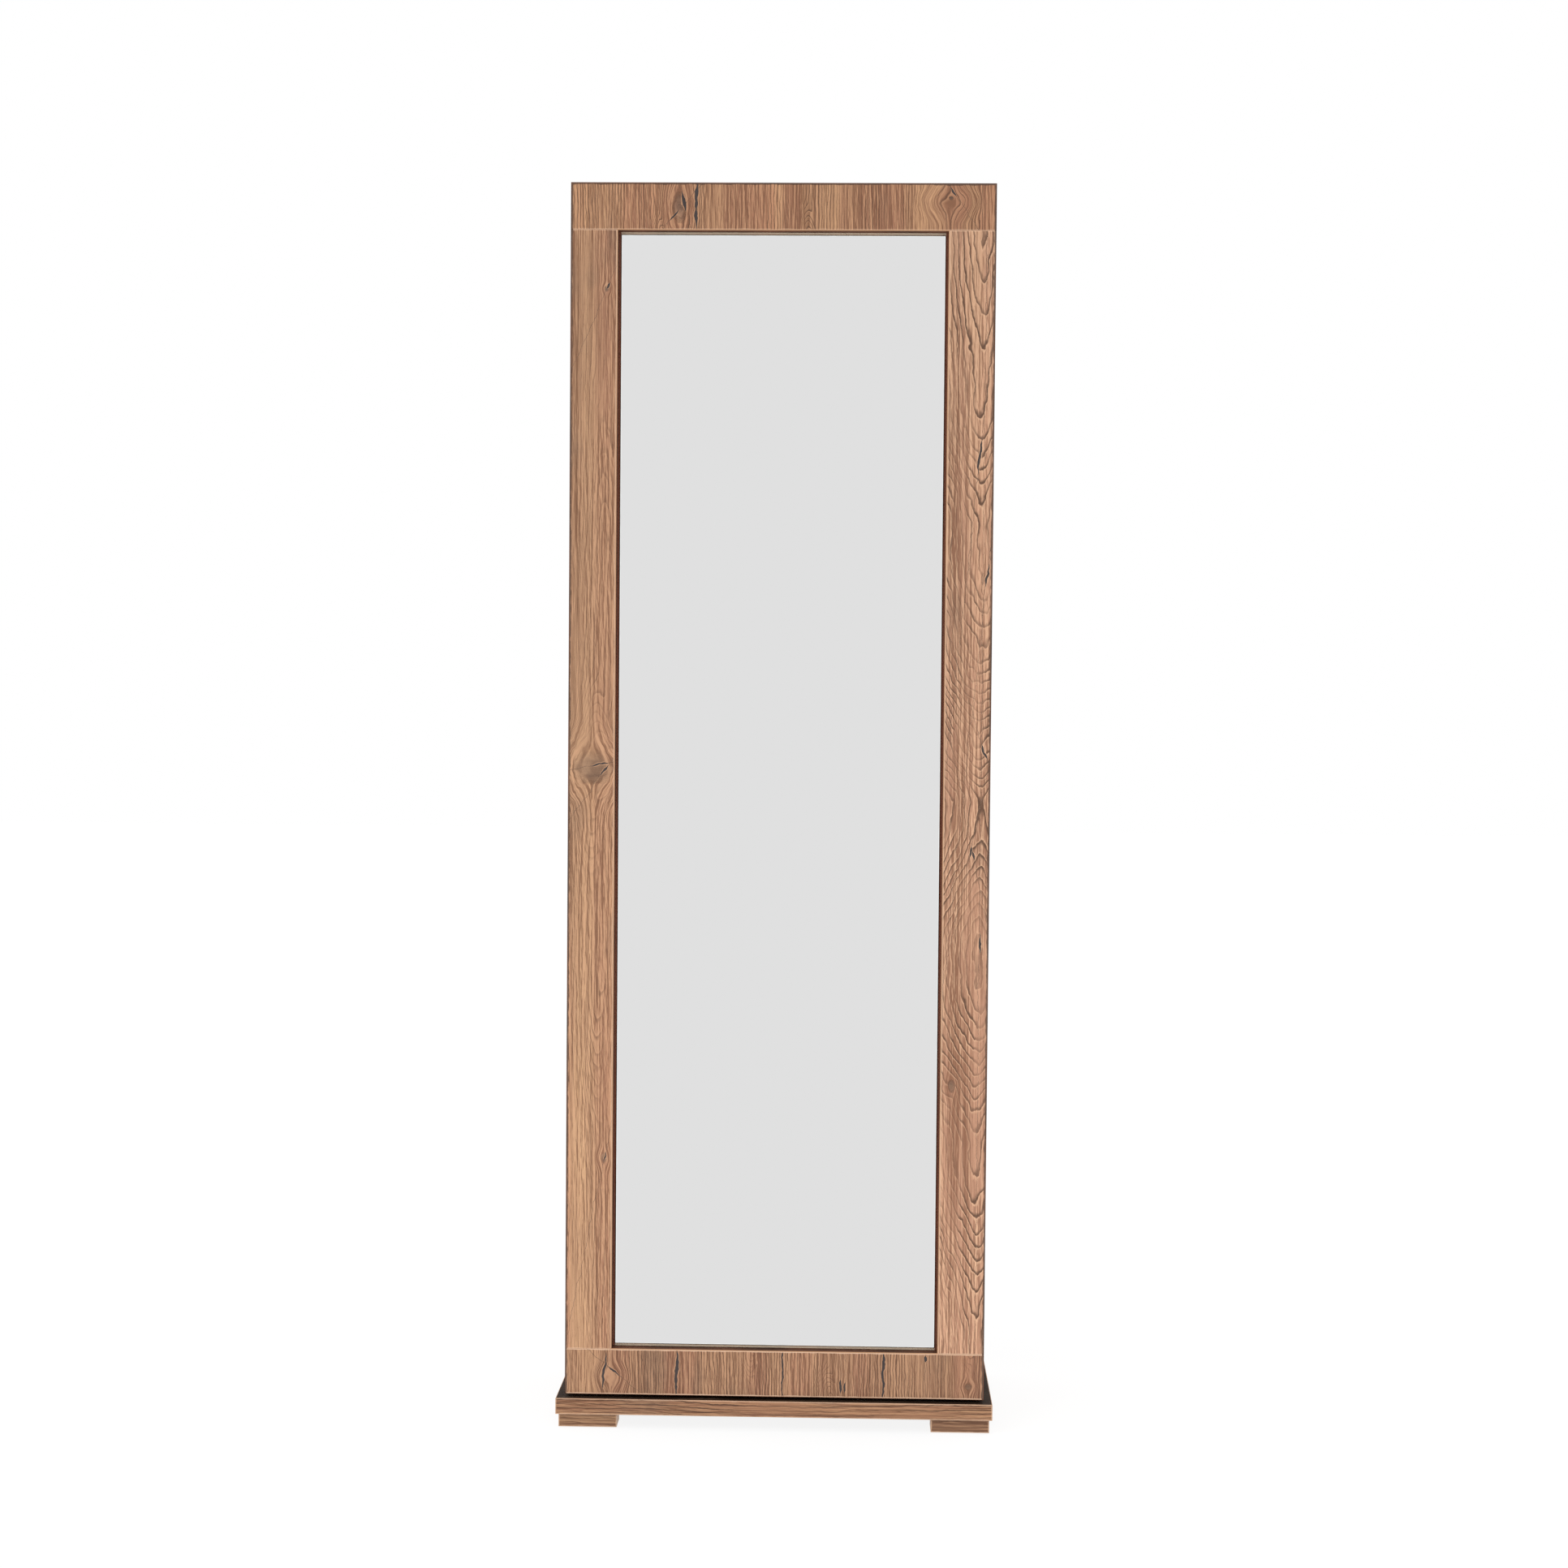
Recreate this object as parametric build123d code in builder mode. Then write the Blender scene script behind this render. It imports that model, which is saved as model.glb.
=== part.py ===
from build123d import *
import os

# A full-length mirror that swivels on its plinth, with a shelf tower behind the glass.
# Sizes are in millimetres. +Z is up and the glass faces -Y. The origin is on the floor,
# under the middle of the plinth, and the swivel axis is the Z axis.

os.makedirs("parts", exist_ok=True)

# ---- driving dimensions ---------------------------------------------------------------

overall_height = 1700
frame_width = 575
body_depth = 306

plinth_thickness = 22
plinth_side_overhang = 12
plinth_front_overhang = 8
swivel_gap = 4  # the shadow gap between the plinth and the turning body

foot_width = 80
foot_depth = 40
foot_thickness = 18
foot_inset = 4
glide_radius = 9
glide_thickness = 2
glide_rounding = 0.8
glide_nail_radius = 1
glide_nail_length = 10

board_thickness = 15  # sides, top, bottom, shelves and the panel behind the glass
frame_thickness = 18
frame_board_width = 64  # rails and stiles
band_thickness = 1
band_joint = 0.1  # gap where two strips of edge band meet
arris = 0.5  # the softened long edges of bands

glass_thickness = 4
glass_side_groove = 3.3  # open groove between the glass and each stile
glass_end_groove = 4  # open groove above and below the glass
glass_arris = 0.8
tape_thickness = 1
tape_width = 25
tape_count = 5

shelf_count = 7
fixed_shelf_number = 4  # counted from the bottom
shelf_setback = 2
shelf_play = 0.5

turntable_radius = 120
plate_thickness = 2.5
turntable_height = 8
turntable_play = 1
ball_radius = 2.5
ball_count = 30
ball_race_radius = 95
running_play = 0.05  # radial clearance of balls and pivot
retainer_play = 0.2
retainer_width = 14
retainer_thickness = 1.2
pivot_radius = 8
pivot_bore_radius = 5
pivot_flange_radius = 13
pivot_flange_thickness = 1.5
pivot_end_play = 0.3

drill_play = 0.05  # every drilled hole is this much larger in radius than what goes in it
bolt_radius = 2.5
bolt_head_radius = 5
bolt_circle_radius = 75
bolt_tip = 0.5
wood_screw_radius = 2
wood_screw_head_radius = 4
wood_screw_length = 28
wood_screw_tip = 4
frame_screw_inset = 24
panel_screw_radius = 2.5
panel_screw_head_radius = 5
panel_screw_length = 50
panel_screw_tip = 5
cap_radius = 6.5
cap_thickness = 0.5
dowel_radius = 4
dowel_length = 30
dowel_in_side = 10
dowel_taper = 1
pilot_spare = 1  # a blind hole is this much deeper than what goes in it
pin_radius = 2.5
pin_length = 17
pin_hole_depth = 8
pin_hole_spacing = 32

# ---- places worked out from them ------------------------------------------------------

plinth_width = frame_width + 2 * plinth_side_overhang
plinth_depth = body_depth + 2 * plinth_front_overhang
plinth_bottom = glide_thickness + foot_thickness
plinth_top = plinth_bottom + plinth_thickness
body_bottom = plinth_top + swivel_gap
body_height = overall_height - body_bottom

front = -body_depth / 2
back = body_depth / 2
frame_back = front + frame_thickness
backing_back = frame_back + board_thickness
core_back = back - band_thickness  # where panels end and their back edge bands start
outer_side = frame_width / 2
inner_side = outer_side - board_thickness

floor_level = body_bottom + board_thickness  # the top face of the bottom panel
ceiling_level = overall_height - board_thickness  # the underside of the top panel
bay_height = (ceiling_level - floor_level - shelf_count * board_thickness) / (shelf_count + 1)
shelf_levels = [
    floor_level + bay_height + number * (bay_height + board_thickness)
    for number in range(shelf_count)
]
fixed_level = shelf_levels[fixed_shelf_number - 1]
loose_levels = [level for level in shelf_levels if level != fixed_level]

rail_board_width = frame_board_width - 2 * band_thickness
opening_width = frame_width - 2 * frame_board_width
opening_bottom = body_bottom + frame_board_width
opening_top = overall_height - frame_board_width
opening_height = opening_top - opening_bottom
opening_middle = (opening_top + opening_bottom) / 2
body_middle = (overall_height + body_bottom) / 2
stile_centre = opening_width / 2 + frame_board_width / 2
stile_bottom = opening_bottom - band_thickness
stile_top = opening_top + band_thickness

base_plate_bottom = body_bottom - turntable_height
ball_level = body_bottom - turntable_height / 2

# ---- helpers --------------------------------------------------------------------------

downward = (0, 0, -1)
upward = (0, 0, 1)
backward = (0, 1, 0)
forward = (0, -1, 0)


def keep(piece, name):
    """Label a finished piece and write it to its own file."""
    piece.part.label = name
    export_step(piece.part, f"parts/{name}.step")


def facing(places, direction):
    """One plane at each place, looking out along the direction."""
    return [Plane(origin=place, z_dir=direction) for place in places]


def upright(centre, direction):
    """An upright plane, its X along the width, for boards that stand on edge."""
    return Plane(origin=centre, x_dir=(1, 0, 0), z_dir=direction)


def countersunk(shank_radius, head_radius, length, tip_length):
    """A screw that points along -Z, its flat head level with Z = 0 and a cross recess in it."""
    slot_length = 1.2 * head_radius
    slot_width = 0.2 * head_radius
    slot_depth = 0.6 * (head_radius - shank_radius)
    with BuildPart() as screw:
        with BuildSketch(Plane.XZ):
            Polygon(
                (0, 0),
                (head_radius, 0),
                (shank_radius, shank_radius - head_radius),
                (shank_radius, tip_length - length),
                (0.2 * shank_radius, -length),
                (0, -length),
                align=None,
            )
        revolve(axis=Axis.Z)
        with BuildSketch(Plane.XY):
            Rectangle(slot_length, slot_width)
            Rectangle(slot_width, slot_length)
        extrude(amount=-slot_depth, mode=Mode.SUBTRACT)
    return screw.part


def countersink(shank_radius, head_radius, depth=None):
    """The hole that a countersunk screw sits in."""
    CounterSinkHole(shank_radius + drill_play, head_radius + drill_play, depth, 90)


def dowel(length):
    """A beech dowel along Z, centred, with tapered ends."""
    with BuildPart() as peg:
        with BuildSketch(Plane.XY.offset(-length / 2)):
            Circle(dowel_radius)
        extrude(amount=length)
        chamfer(peg.edges().filter_by(GeomType.CIRCLE), dowel_taper)
    return peg.part


def band_outline(outer_width, outer_height):
    """The section of an edge band that goes once round a board or an opening."""
    Rectangle(outer_width, outer_height)
    Rectangle(
        outer_width - 2 * band_thickness,
        outer_height - 2 * band_thickness,
        mode=Mode.SUBTRACT,
    )


# ---- where the fasteners go -----------------------------------------------------------

sides = (-1, 1)
named_sides = ((-1, "left"), (1, "right"))
named_ends = ((-1, "front"), (1, "back"))

foot_x = plinth_width / 2 - foot_inset - foot_width / 2
foot_y = plinth_depth / 2 - foot_inset - foot_depth / 2
foot_centres = [(sx * foot_x, sy * foot_y) for sx in sides for sy in sides]
glide_offset = foot_width / 2 - glide_radius - 1
foot_screw_offset = 14
foot_screw_places = [(x + sx * foot_screw_offset, y) for x, y in foot_centres for sx in sides]
glide_places = [(x + sx * glide_offset, y) for x, y in foot_centres for sx in sides]

bolt_offset = bolt_circle_radius / 2**0.5
bolt_places = [(sx * bolt_offset, sy * bolt_offset) for sx in sides for sy in sides]

fixed_panel_middles = [
    level + board_thickness / 2 for level in (body_bottom, fixed_level, ceiling_level)
]
panel_screw_y = (-95, 110)
panel_dowel_y = (-45, 60)
pin_y = (-85, 120)
pin_drop = pin_radius + drill_play
pin_levels = [level - pin_drop for level in loose_levels]

frame_dowel_offset = 16
frame_dowel_y = front + frame_thickness / 2
frame_dowel_places = [
    (sx * stile_centre + dx * frame_dowel_offset, frame_dowel_y, level)
    for sx in sides
    for dx in sides
    for level in (stile_bottom, stile_top)
]

bay_middles = [level - bay_height / 2 for level in shelf_levels]
rail_screw_x = (-180, 0, 180)
rail_screw_levels = (opening_bottom - frame_screw_inset, opening_top + frame_screw_inset)
stile_screw_x = inner_side - frame_screw_inset
frame_screw_places = [
    (sx * stile_screw_x, backing_back, level) for sx in sides for level in bay_middles[1::2]
] + [(x, backing_back, level) for x in rail_screw_x for level in rail_screw_levels]

# ---- plinth: board, edge band, feet, glides and their screws --------------------------

foot_screw_depth = wood_screw_length - foot_thickness

with BuildPart() as plinth_board:
    with BuildSketch(Plane.XY.offset(plinth_bottom)):
        Rectangle(plinth_width - 2 * band_thickness, plinth_depth - 2 * band_thickness)
    extrude(amount=plinth_thickness)
    # the turntable is let into the top face, and its pivot flange a little deeper
    with BuildSketch(Plane.XY.offset(plinth_top)):
        Circle(turntable_radius + turntable_play)
    extrude(amount=base_plate_bottom - plinth_top, mode=Mode.SUBTRACT)
    with BuildSketch(Plane.XY.offset(base_plate_bottom)):
        Circle(pivot_flange_radius + turntable_play)
    extrude(amount=-pivot_flange_thickness - turntable_play, mode=Mode.SUBTRACT)
    with Locations(*facing([(x, y, plinth_bottom) for x, y in bolt_places], downward)):
        countersink(bolt_radius, bolt_head_radius)
    with Locations(*facing([(x, y, plinth_bottom) for x, y in foot_screw_places], downward)):
        Hole(wood_screw_radius + drill_play, foot_screw_depth + pilot_spare)
keep(plinth_board, "plinth_board")

with BuildPart() as plinth_edge_band:
    with BuildSketch(Plane.XY.offset(plinth_bottom)):
        band_outline(plinth_width, plinth_depth)
    extrude(amount=plinth_thickness)
    for level_face in plinth_edge_band.faces().filter_by(Axis.Z):
        chamfer(level_face.outer_wire().edges(), arris)
keep(plinth_edge_band, "plinth_edge_band")

for side, side_name in named_sides:
    for end, end_name in named_ends:
        centre = (side * foot_x, end * foot_y)
        screw_places = [(centre[0] + sx * foot_screw_offset, centre[1]) for sx in sides]
        nail_places = [(centre[0] + sx * glide_offset, centre[1]) for sx in sides]
        with BuildPart() as foot:
            with BuildSketch(Plane((*centre, glide_thickness))):
                Rectangle(foot_width, foot_depth)
            extrude(amount=foot_thickness)
            chamfer(foot.edges().filter_by(Axis.Z), arris)
            with Locations(*facing([(x, y, glide_thickness) for x, y in screw_places], downward)):
                countersink(wood_screw_radius, wood_screw_head_radius)
            with Locations(*facing([(x, y, glide_thickness) for x, y in nail_places], downward)):
                Hole(glide_nail_radius + drill_play, glide_nail_length + drill_play)
        keep(foot, f"foot_{end_name}_{side_name}")

with BuildPart() as foot_glides:
    with BuildSketch(Plane.XY):
        with Locations(*glide_places):
            Circle(glide_radius)
    extrude(amount=glide_thickness)
    soles = foot_glides.faces().group_by(Axis.Z)[0]
    fillet(soles.edges(), glide_rounding)
    with BuildSketch(Plane.XY.offset(glide_thickness)):
        with Locations(*glide_places):
            Circle(glide_nail_radius)
    extrude(amount=glide_nail_length)
keep(foot_glides, "foot_glides")

wood_screw = countersunk(wood_screw_radius, wood_screw_head_radius, wood_screw_length, wood_screw_tip)
with BuildPart() as foot_screws:
    with Locations(*facing([(x, y, glide_thickness) for x, y in foot_screw_places], downward)):
        add(wood_screw)
keep(foot_screws, "foot_screws")

# ---- turntable: two plates with a ball race between them, held by a pivot bush --------


def plate_profile(hole_radius, bottom):
    """Half of a plate's section, with half of the ball groove cut in it."""
    middle_radius = (hole_radius + turntable_radius) / 2
    with Locations((middle_radius, bottom + plate_thickness / 2)):
        Rectangle(turntable_radius - hole_radius, plate_thickness)
    with Locations((ball_race_radius, ball_level)):
        Circle(ball_radius + running_play, mode=Mode.SUBTRACT)


with BuildPart() as turntable_base_plate:
    with BuildSketch(Plane.XZ):
        plate_profile(pivot_radius + running_play, base_plate_bottom)
    revolve(axis=Axis.Z)
    with Locations(*[(x, y, base_plate_bottom + plate_thickness) for x, y in bolt_places]):
        Hole(bolt_radius + drill_play)
keep(turntable_base_plate, "turntable_base_plate")

with BuildPart() as turntable_top_plate:
    with BuildSketch(Plane.XZ):
        plate_profile(pivot_radius + running_play, body_bottom - plate_thickness)
    revolve(axis=Axis.Z)
    with Locations(*[(x, y, body_bottom) for x, y in bolt_places]):
        Hole(bolt_radius + drill_play)
keep(turntable_top_plate, "turntable_top_plate")

with BuildPart() as pivot_bush:
    lower_flange_bottom = base_plate_bottom - pivot_flange_thickness
    upper_flange_bottom = body_bottom + pivot_end_play
    upper_flange_top = upper_flange_bottom + pivot_flange_thickness
    with BuildSketch(Plane.XZ):
        Polygon(
            (pivot_bore_radius, lower_flange_bottom),
            (pivot_flange_radius, lower_flange_bottom),
            (pivot_flange_radius, base_plate_bottom),
            (pivot_radius, base_plate_bottom),
            (pivot_radius, upper_flange_bottom),
            (pivot_flange_radius, upper_flange_bottom),
            (pivot_flange_radius, upper_flange_top),
            (pivot_bore_radius, upper_flange_top),
            align=None,
        )
    revolve(axis=Axis.Z)
keep(pivot_bush, "pivot_bush")

with BuildPart(Plane.XY.offset(ball_level)) as bearing_balls:
    with PolarLocations(ball_race_radius, ball_count):
        Sphere(ball_radius)
keep(bearing_balls, "bearing_balls")

with BuildPart() as ball_retainer:
    with BuildSketch(Plane.XY.offset(ball_level - retainer_thickness / 2)):
        Circle(ball_race_radius + retainer_width / 2)
        Circle(ball_race_radius - retainer_width / 2, mode=Mode.SUBTRACT)
        with PolarLocations(ball_race_radius, ball_count):
            Circle(ball_radius + retainer_play, mode=Mode.SUBTRACT)
    extrude(amount=retainer_thickness)
keep(ball_retainer, "ball_retainer")

base_bolt_length = base_plate_bottom + plate_thickness - plinth_bottom
base_bolt = countersunk(bolt_radius, bolt_head_radius, base_bolt_length, bolt_tip)
with BuildPart() as turntable_base_bolts:
    with Locations(*facing([(x, y, plinth_bottom) for x, y in bolt_places], downward)):
        add(base_bolt)
keep(turntable_base_bolts, "turntable_base_bolts")

top_bolt_length = board_thickness + plate_thickness
top_bolt = countersunk(bolt_radius, bolt_head_radius, top_bolt_length, bolt_tip)
with BuildPart() as turntable_top_bolts:
    with Locations(*facing([(x, y, floor_level) for x, y in bolt_places], upward)):
        add(top_bolt)
keep(turntable_top_bolts, "turntable_top_bolts")

# ---- body: sides, top, bottom and the panel behind the glass --------------------------


def drill_panel_ends(middle):
    """Pilot holes for panel screws and dowels in both ends of a panel."""
    screw_depth = panel_screw_length - board_thickness + pilot_spare
    dowel_depth = dowel_length - dowel_in_side + pilot_spare
    for side in sides:
        direction = (side, 0, 0)
        screw_starts = [(side * inner_side, y, middle) for y in panel_screw_y]
        dowel_starts = [(side * inner_side, y, middle) for y in panel_dowel_y]
        with Locations(*facing(screw_starts, direction)):
            Hole(panel_screw_radius + drill_play, screw_depth)
        with Locations(*facing(dowel_starts, direction)):
            Hole(dowel_radius + drill_play, dowel_depth)


with BuildPart() as bottom_panel:
    with BuildSketch(Plane((0, (frame_back + core_back) / 2, body_bottom))):
        Rectangle(2 * inner_side, core_back - frame_back)
    extrude(amount=board_thickness)
    drill_panel_ends(body_bottom + board_thickness / 2)
    # a pocket under the panel clears the pivot's upper flange
    with BuildSketch(Plane.XY.offset(body_bottom)):
        Circle(pivot_flange_radius + 2 * turntable_play)
    extrude(amount=pivot_end_play + pivot_flange_thickness + turntable_play, mode=Mode.SUBTRACT)
    with Locations(*facing([(x, y, floor_level) for x, y in bolt_places], upward)):
        countersink(bolt_radius, bolt_head_radius)
keep(bottom_panel, "bottom_panel")

with BuildPart() as top_panel:
    with BuildSketch(Plane((0, (frame_back + core_back) / 2, ceiling_level))):
        Rectangle(2 * inner_side, core_back - frame_back)
    extrude(amount=board_thickness)
    drill_panel_ends(ceiling_level + board_thickness / 2)
keep(top_panel, "top_panel")

for side, side_name in named_sides:
    outward = (side, 0, 0)
    inward = (-side, 0, 0)
    screw_heads = [(side * outer_side, y, z) for y in panel_screw_y for z in fixed_panel_middles]
    dowel_starts = [(side * inner_side, y, z) for y in panel_dowel_y for z in fixed_panel_middles]
    pin_starts = [
        (side * inner_side, y, level + row * pin_hole_spacing)
        for y in pin_y
        for level in pin_levels
        for row in (-1, 0, 1)
    ]
    panel_centre = side * (outer_side + inner_side) / 2
    with BuildPart() as side_panel:
        with BuildSketch(Plane((panel_centre, (frame_back + core_back) / 2, body_bottom))):
            Rectangle(board_thickness, core_back - frame_back)
        extrude(amount=body_height)
        with Locations(*facing(screw_heads, outward)):
            countersink(panel_screw_radius, panel_screw_head_radius, board_thickness)
        with Locations(*facing(dowel_starts, inward)):
            Hole(dowel_radius + drill_play, dowel_in_side + drill_play)
        with Locations(*facing(pin_starts, inward)):
            Hole(pin_radius + drill_play, pin_hole_depth + drill_play)
    keep(side_panel, f"side_panel_{side_name}")

with BuildPart() as mirror_backing_panel:
    with BuildSketch(upright((0, frame_back, (floor_level + ceiling_level) / 2), backward)):
        Rectangle(2 * inner_side, ceiling_level - floor_level)
    extrude(amount=board_thickness)
    with Locations(*facing(frame_screw_places, backward)):
        countersink(wood_screw_radius, wood_screw_head_radius, board_thickness)
keep(mirror_backing_panel, "mirror_backing_panel")

with BuildPart() as body_edge_bands:
    # one strip on the back edge of each side, and of the top and bottom panels between them
    for side in sides:
        side_middle = side * (outer_side + inner_side) / 2
        with BuildSketch(upright((side_middle, core_back, body_middle), backward)):
            Rectangle(board_thickness, body_height)
        extrude(amount=band_thickness)
    for level in (body_bottom, ceiling_level):
        with BuildSketch(upright((0, core_back, level + board_thickness / 2), backward)):
            Rectangle(2 * (inner_side - band_joint), board_thickness)
        extrude(amount=band_thickness)
keep(body_edge_bands, "body_edge_bands")

# ---- mirror frame: two rails the full width, two stiles between them ------------------


def frame_screw_pilots():
    """Pilot holes in the back of the frame boards."""
    pilot_starts = [(x, frame_back, z) for x, y, z in frame_screw_places]
    with Locations(*facing(pilot_starts, backward)):
        Hole(wood_screw_radius + drill_play, wood_screw_length - board_thickness + pilot_spare)


def frame_dowel_holes():
    """Dowel holes across the butt joints, half in the rail and half in the stile."""
    with Locations(*facing(frame_dowel_places, upward)):
        Hole(dowel_radius + drill_play, dowel_length / 2 + pilot_spare)


rail_middles = {
    "bottom_rail": (body_bottom + band_thickness + stile_bottom) / 2,
    "top_rail": (overall_height - band_thickness + stile_top) / 2,
}
for name, middle in rail_middles.items():
    with BuildPart() as rail:
        with BuildSketch(upright((0, frame_back, middle), forward)):
            Rectangle(frame_width - 2 * band_thickness, rail_board_width)
        extrude(amount=frame_thickness)
        frame_screw_pilots()
        frame_dowel_holes()
    keep(rail, name)

for side, side_name in named_sides:
    with BuildPart() as stile:
        with BuildSketch(upright((side * stile_centre, frame_back, opening_middle), forward)):
            Rectangle(frame_board_width - 2 * band_thickness, stile_top - stile_bottom)
        extrude(amount=frame_thickness)
        # the ends are eased at the face, so that the butt joint shows as a fine line
        end_edges = stile.faces().sort_by(Axis.Y)[0].edges().filter_by(Axis.X)
        chamfer(end_edges, arris)
        frame_screw_pilots()
        frame_dowel_holes()
    keep(stile, f"{side_name}_stile")

with BuildPart() as frame_outer_band:
    with BuildSketch(upright((0, frame_back, body_middle), forward)):
        band_outline(frame_width, body_height)
    extrude(amount=frame_thickness)
    outline = frame_outer_band.faces().sort_by(Axis.Y)[0].outer_wire().edges()
    chamfer(outline, arris)
keep(frame_outer_band, "frame_outer_band")

with BuildPart() as frame_opening_band:
    with BuildSketch(upright((0, frame_back, opening_middle), forward)):
        band_outline(opening_width + 2 * band_thickness, opening_height + 2 * band_thickness)
    extrude(amount=frame_thickness)
    inner_outline = frame_opening_band.faces().sort_by(Axis.Y)[0].inner_wires()[0].edges()
    chamfer(inner_outline, arris)
keep(frame_opening_band, "frame_opening_band")

# ---- glass and the tape that holds it -------------------------------------------------

glass_width = opening_width - 2 * glass_side_groove
glass_height = opening_height - 2 * glass_end_groove
tape_spacing = (glass_width - 3 * tape_width) / (tape_count - 1)

with BuildPart() as mirror_glass:
    with BuildSketch(upright((0, frame_back - tape_thickness, opening_middle), forward)):
        Rectangle(glass_width, glass_height)
    extrude(amount=glass_thickness)
    chamfer(mirror_glass.faces().sort_by(Axis.Y)[0].edges(), glass_arris)
keep(mirror_glass, "mirror_glass")

with BuildPart() as mirror_tape:
    with BuildSketch(upright((0, frame_back, opening_middle), forward)):
        with GridLocations(tape_spacing, 0, tape_count, 1):
            Rectangle(tape_width, glass_height - 2 * tape_width)
    extrude(amount=tape_thickness)
keep(mirror_tape, "mirror_tape")

# ---- shelves, their back edge bands and pins ------------------------------------------

shelf_front = backing_back + shelf_play
shelf_back = core_back - shelf_setback

for number, level in enumerate(shelf_levels, start=1):
    is_fixed = level == fixed_level
    end_play = 0 if is_fixed else shelf_play
    with BuildPart() as shelf:
        with BuildSketch(Plane((0, (shelf_front + shelf_back) / 2, level))):
            Rectangle(2 * (inner_side - end_play), shelf_back - shelf_front)
        extrude(amount=board_thickness)
        if is_fixed:
            drill_panel_ends(level + board_thickness / 2)
    keep(shelf, f"shelf_{number}")

with BuildPart() as shelf_edge_bands:
    for level in shelf_levels:
        with BuildSketch(upright((0, shelf_back, level + board_thickness / 2), backward)):
            Rectangle(2 * (inner_side - shelf_play), board_thickness)
        extrude(amount=band_thickness)
keep(shelf_edge_bands, "shelf_edge_bands")

with BuildPart() as shelf_pins:
    for side in sides:
        hole_bottoms = [
            (side * (inner_side + pin_hole_depth), y, level) for y in pin_y for level in pin_levels
        ]
        for plane in facing(hole_bottoms, (-side, 0, 0)):
            with BuildSketch(plane):
                Circle(pin_radius)
            extrude(amount=pin_length)
    chamfer(shelf_pins.edges().filter_by(GeomType.CIRCLE), arris)
keep(shelf_pins, "shelf_pins")

# ---- fasteners of the body and the frame ----------------------------------------------

panel_screw = countersunk(
    panel_screw_radius, panel_screw_head_radius, panel_screw_length, panel_screw_tip
)
panel_screw_heads = {
    side: [(side * outer_side, y, z) for y in panel_screw_y for z in fixed_panel_middles]
    for side in sides
}

with BuildPart() as panel_screws:
    for side in sides:
        with Locations(*facing(panel_screw_heads[side], (side, 0, 0))):
            add(panel_screw)
keep(panel_screws, "panel_screws")

with BuildPart() as screw_caps:
    for side in sides:
        for plane in facing(panel_screw_heads[side], (side, 0, 0)):
            with BuildSketch(plane):
                Circle(cap_radius)
            extrude(amount=cap_thickness)
keep(screw_caps, "screw_caps")

panel_dowel = dowel(dowel_length)
dowel_shift = dowel_length / 2 - dowel_in_side
with BuildPart() as panel_dowels:
    for side in sides:
        centres = [
            (side * (inner_side - dowel_shift), y, z)
            for y in panel_dowel_y
            for z in fixed_panel_middles
        ]
        with Locations(*facing(centres, (side, 0, 0))):
            add(panel_dowel)
keep(panel_dowels, "panel_dowels")

with BuildPart() as frame_dowels:
    with Locations(*frame_dowel_places):
        add(panel_dowel)
keep(frame_dowels, "frame_dowels")

with BuildPart() as frame_screws:
    with Locations(*facing(frame_screw_places, backward)):
        add(wood_screw)
keep(frame_screws, "frame_screws")

print("overall", plinth_width, plinth_depth, overall_height)
print("glass", glass_width, glass_height, "bay height", bay_height)
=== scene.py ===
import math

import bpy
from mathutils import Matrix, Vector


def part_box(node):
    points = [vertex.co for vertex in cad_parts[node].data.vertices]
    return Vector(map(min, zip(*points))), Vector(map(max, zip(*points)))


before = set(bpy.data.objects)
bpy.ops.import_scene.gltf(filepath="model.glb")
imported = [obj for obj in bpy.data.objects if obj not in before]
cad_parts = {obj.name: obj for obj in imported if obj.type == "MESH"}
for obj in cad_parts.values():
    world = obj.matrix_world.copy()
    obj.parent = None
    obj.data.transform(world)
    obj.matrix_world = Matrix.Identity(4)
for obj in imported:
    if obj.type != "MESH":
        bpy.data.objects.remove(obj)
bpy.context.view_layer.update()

# %% [markdown]
# # A full-length mirror that swivels on its plinth
#
# The real object is a piece of flat-pack furniture. Four boards frame a silvered glass, a shelf
# tower stands behind it, and a ball-bearing turntable lets the whole body turn on a low plinth.
# Every shape is already exact in the CAD frame, because boards are cut, drilled and banded to
# size. So this lesson is about finish: how a printed timber decor, its edge bands, the glass
# and the plated steel fittings are described with procedural nodes.

# %% [markdown]
# ## Reading places from the frame
#
# A finish has to know where its board is: knots sit at places on a board, and worn arrises
# follow its outline. Numbers typed in by hand would break as soon as the design changed,
# so all places come from here.

# %% Where the boards are


def board_centre(node):
    """The middle of a CAD node's box."""
    low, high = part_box(node)
    return (Vector(low) + Vector(high)) / 2


def board_size(node):
    """The width, depth and height of a CAD node's box."""
    low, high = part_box(node)
    return Vector(high) - Vector(low)


glass_centre = board_centre("mirror_glass")
frame_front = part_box("top_rail")[0][1]
print("glass centre:", glass_centre, "front of the frame:", frame_front)

# %% [markdown]
# ## A bench for building node trees
#
# Node trees are drawn by hand in the editor, but in a script each node takes several lines.
# The class below gives each kind of node used here one short call. Every call takes plain
# numbers or the output of another call, and returns the new node's output. That keeps the
# recipe of a finish readable from top to bottom.

# %% The bench


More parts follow.
